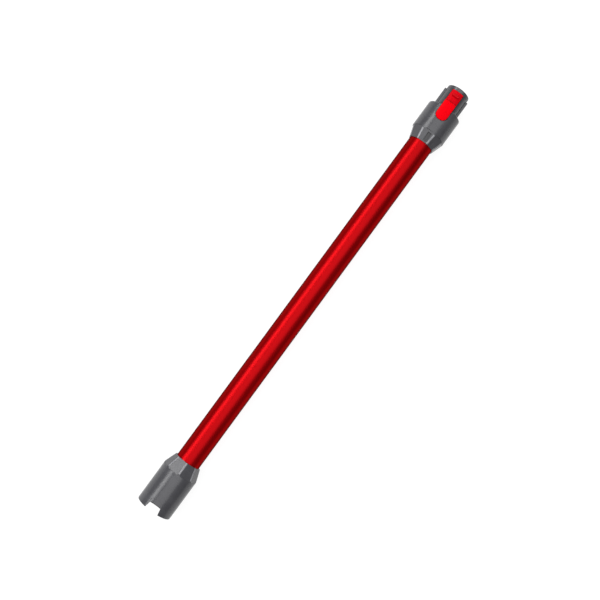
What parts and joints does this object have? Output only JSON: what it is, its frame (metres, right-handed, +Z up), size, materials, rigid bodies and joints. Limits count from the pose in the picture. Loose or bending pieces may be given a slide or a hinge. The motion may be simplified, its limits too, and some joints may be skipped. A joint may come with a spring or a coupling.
{
  "type": "vacuum extension wand",
  "caption": "Straight extension wand for a stick vacuum: red anodised tube with a notched socket at one end and a latching spigot with a red release button at the other.",
  "frame": {"origin": "centre of the socket's mouth, on the wand's axis", "axes": "+X along the wand from the socket to the spigot, +Z up through the notch and the release button"},
  "size_m": [0.73, 0.054, 0.054],
  "materials": {
    "anodised_tube": "red anodised, satin",
    "grey_abs": "moulded, semi-gloss",
    "dark_abs": "moulded, satin",
    "red_abs": "moulded, gloss",
    "rubber": "matt",
    "black_nylon": "moulded, satin",
    "zinc_steel": "zinc plated",
    "spring_steel": "drawn wire",
    "contact_brass": "plain",
    "tinned_crimp": "tinned",
    "red_pvc": "extruded",
    "black_pvc": "extruded"
  },
  "bodies": {
    "wand": {"wand_tube": "anodised_tube", "socket_shell": "grey_abs", "socket_liner": "dark_abs", "socket_seal": "rubber", "lower_gasket": "rubber", "pin_block": "black_nylon", "pin_block_screws": "zinc_steel", "contact_pin_live": "contact_brass", "contact_pin_return": "contact_brass", "cable_conduit": "dark_abs", "conduit_lid": "dark_abs", "wire_live": "red_pvc", "wire_return": "black_pvc", "wire_crimps": "tinned_crimp", "collar_cover": "grey_abs", "spigot_duct": "grey_abs", "upper_gasket": "rubber", "contact_block": "black_nylon", "contact_block_screw": "zinc_steel", "contact_clip_live": "contact_brass", "contact_clip_return": "contact_brass", "button_pin": "zinc_steel", "button_spring": "spring_steel"},
    "button": {"release_button": "red_abs"}
  },
  "joints": [
    {"name": "release_hinge", "type": "hinge", "parent": "wand", "child": "button", "pos_m": [0.6805, 0, 0.02], "axis": [0, 1, 0], "range_deg": [0, 3], "stiffness_Nm_per_rad": 1.6, "springref_deg": -3.44, "deforming": ["button_spring"]}
  ]
}
